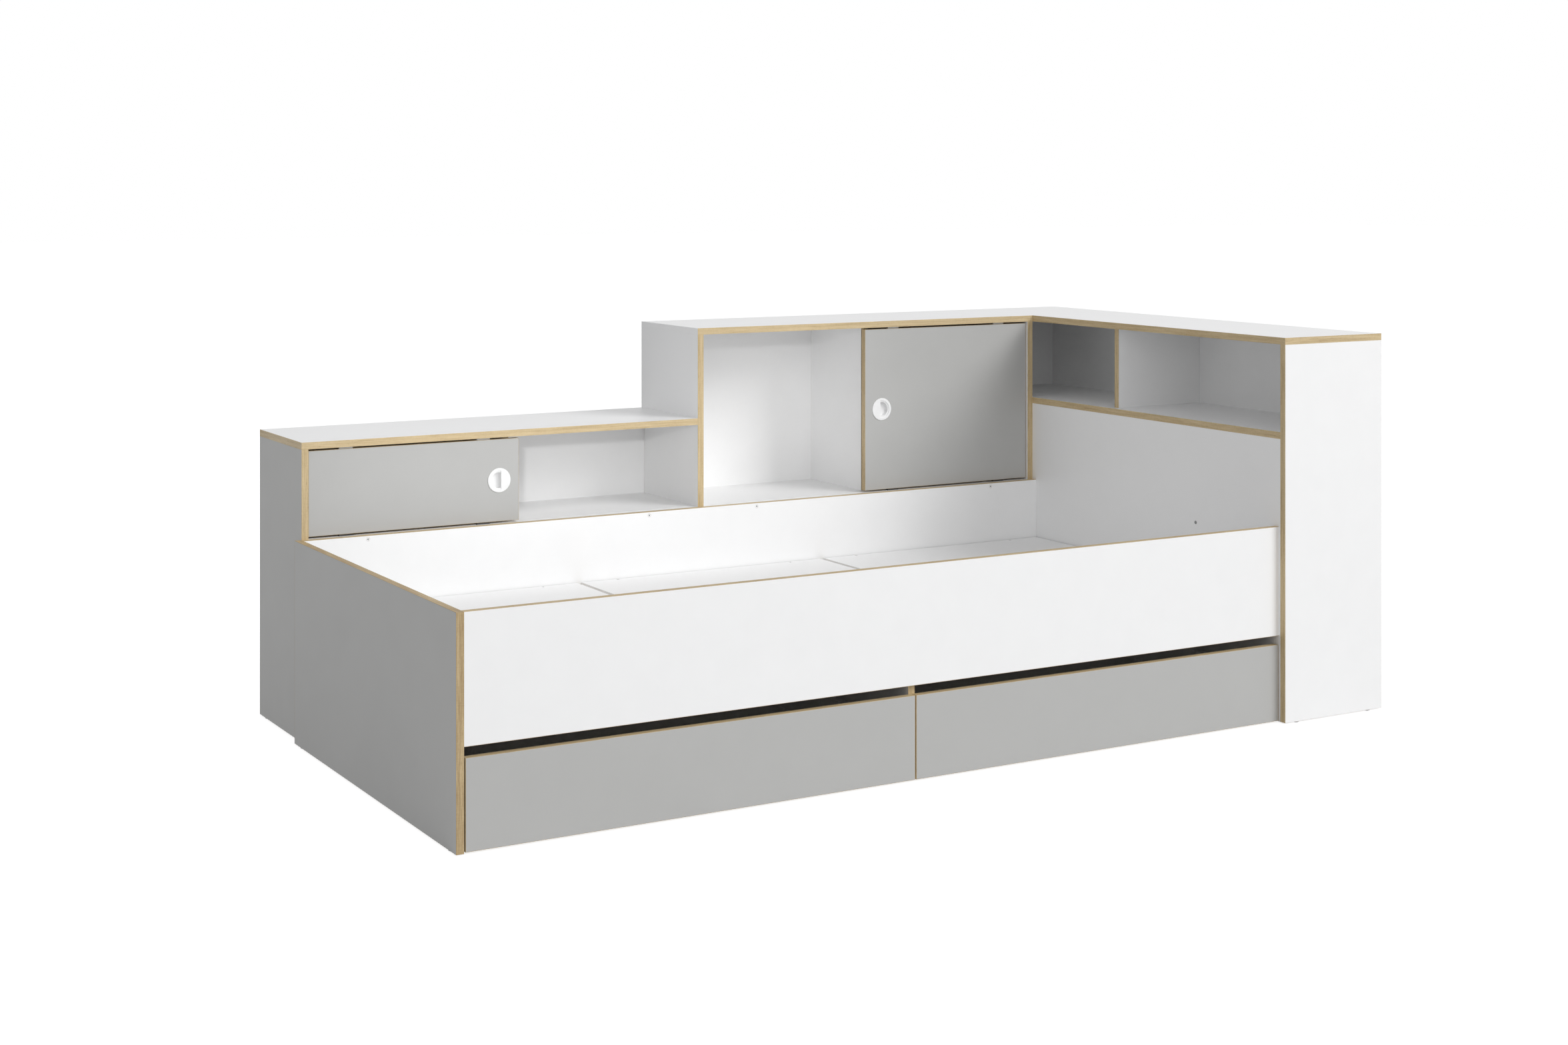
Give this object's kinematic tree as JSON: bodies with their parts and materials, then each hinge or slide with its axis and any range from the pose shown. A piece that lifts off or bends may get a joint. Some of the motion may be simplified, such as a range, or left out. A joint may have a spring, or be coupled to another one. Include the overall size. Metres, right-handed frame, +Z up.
{
  "type": "youth bed with storage",
  "caption": "Single youth bed in an L of low and high wall cabinets and a head bookcase, with sliding doors, rolling underbed drawers and oak-coloured edges.",
  "frame": {"origin": "on the floor, under the middle of the whole piece", "axes": "+X from the footboard to the head bookcase, +Y from the open side to the wall cabinets, +Z up"},
  "size_m": [2.335, 1.28, 0.892],
  "materials": {
    "white_board": "white melamine, fine matt pore",
    "grey_board": "light grey melamine, fine matt pore",
    "oak_edge": "oak-grain edge band, satin",
    "white_back": "white-lacquered hardboard",
    "pine": "planed softwood",
    "white_plastic": "white satin plastic",
    "grey_plastic": "light grey matt plastic",
    "wheel_plastic": "dark grey moulded plastic",
    "steel": "zinc-plated steel"
  },
  "bodies": {
    "bed": {"footboard": "grey_board", "front_rail": "white_board", "back_rail": "white_board", "centre_panel": "white_board", "base_board_foot": "white_board", "base_board_middle": "white_board", "base_board_head": "white_board", "base_ledgers": "pine", "seam_battens": "white_board", "base_board_screws": "steel", "rail_screws": "steel", "bed_edging": "oak_edge", "floor_glides": "grey_plastic", "low_cabinet_side": "grey_board", "low_cabinet_floor": "white_board", "low_cabinet_top": "white_board", "low_cabinet_divider": "white_board", "low_cabinet_back": "white_back", "tall_side": "white_board", "high_cabinet_side": "white_board", "high_cabinet_floor": "white_board", "high_cabinet_top": "white_board", "high_cabinet_divider": "white_board", "high_cabinet_back": "white_back", "cabinet_stretchers": "white_board", "cabinet_edging": "oak_edge", "bookcase_end_front": "white_board", "bookcase_end_rear": "white_board", "head_panel": "white_board", "bookcase_shelf": "white_board", "bookcase_divider": "white_board", "bookcase_top": "white_board", "bookcase_back": "white_back", "bookcase_edging": "oak_edge"},
    "left_door": {"left_door_panel": "grey_board", "left_door_edging": "oak_edge", "left_door_pull": "white_plastic", "left_door_guides": "grey_plastic"},
    "left_drawer": {"left_drawer_front": "grey_board", "left_drawer_edging": "oak_edge", "left_drawer_side_left": "white_board", "left_drawer_side_right": "white_board", "left_drawer_back": "white_board", "left_drawer_bottom": "white_back", "left_drawer_castors": "steel"},
    "left_drawer_wheels_front": {"left_drawer_wheels_front": "wheel_plastic"},
    "left_drawer_wheels_rear": {"left_drawer_wheels_rear": "wheel_plastic"},
    "right_door": {"right_door_panel": "grey_board", "right_door_edging": "oak_edge", "right_door_pull": "white_plastic", "right_door_guides": "grey_plastic"},
    "right_drawer": {"right_drawer_front": "grey_board", "right_drawer_edging": "oak_edge", "right_drawer_side_left": "white_board", "right_drawer_side_right": "white_board", "right_drawer_back": "white_board", "right_drawer_bottom": "white_back", "right_drawer_castors": "steel"},
    "right_drawer_wheels_front": {"right_drawer_wheels_front": "wheel_plastic"},
    "right_drawer_wheels_rear": {"right_drawer_wheels_rear": "wheel_plastic"}
  },
  "joints": [
    {"name": "left_door_slide", "type": "slide", "parent": "bed", "child": "left_door", "axis": [1, 0, 0], "range_m": [0, 0.47]},
    {"name": "left_drawer_slide", "type": "slide", "parent": "bed", "child": "left_drawer", "axis": [0, -1, 0], "range_m": [0, 0.7]},
    {"name": "left_front_wheels_roll", "type": "hinge", "parent": "left_drawer", "child": "left_drawer_wheels_front", "pos_m": [-0.644, -0.534, 0.02], "axis": [1, 0, 0], "range_deg": [0, 2006]},
    {"name": "left_rear_wheels_roll", "type": "hinge", "parent": "left_drawer", "child": "left_drawer_wheels_rear", "pos_m": [-0.644, 0.046, 0.02], "axis": [1, 0, 0], "range_deg": [0, 2006]},
    {"name": "right_door_slide", "type": "slide", "parent": "bed", "child": "right_door", "axis": [-1, 0, 0], "range_m": [0, 0.47]},
    {"name": "right_drawer_slide", "type": "slide", "parent": "bed", "child": "right_drawer", "axis": [0, -1, 0], "range_m": [0, 0.7]},
    {"name": "right_front_wheels_roll", "type": "hinge", "parent": "right_drawer", "child": "right_drawer_wheels_front", "pos_m": [0.356, -0.534, 0.02], "axis": [1, 0, 0], "range_deg": [0, 2006]},
    {"name": "right_rear_wheels_roll", "type": "hinge", "parent": "right_drawer", "child": "right_drawer_wheels_rear", "pos_m": [0.356, 0.046, 0.02], "axis": [1, 0, 0], "range_deg": [0, 2006]}
  ],
  "couplings": [
    {"joint": "left_front_wheels_roll", "follows": "left_drawer_slide", "rad_per_m": 50},
    {"joint": "left_rear_wheels_roll", "follows": "left_drawer_slide", "rad_per_m": 50},
    {"joint": "right_front_wheels_roll", "follows": "right_drawer_slide", "rad_per_m": 50},
    {"joint": "right_rear_wheels_roll", "follows": "right_drawer_slide", "rad_per_m": 50}
  ]
}
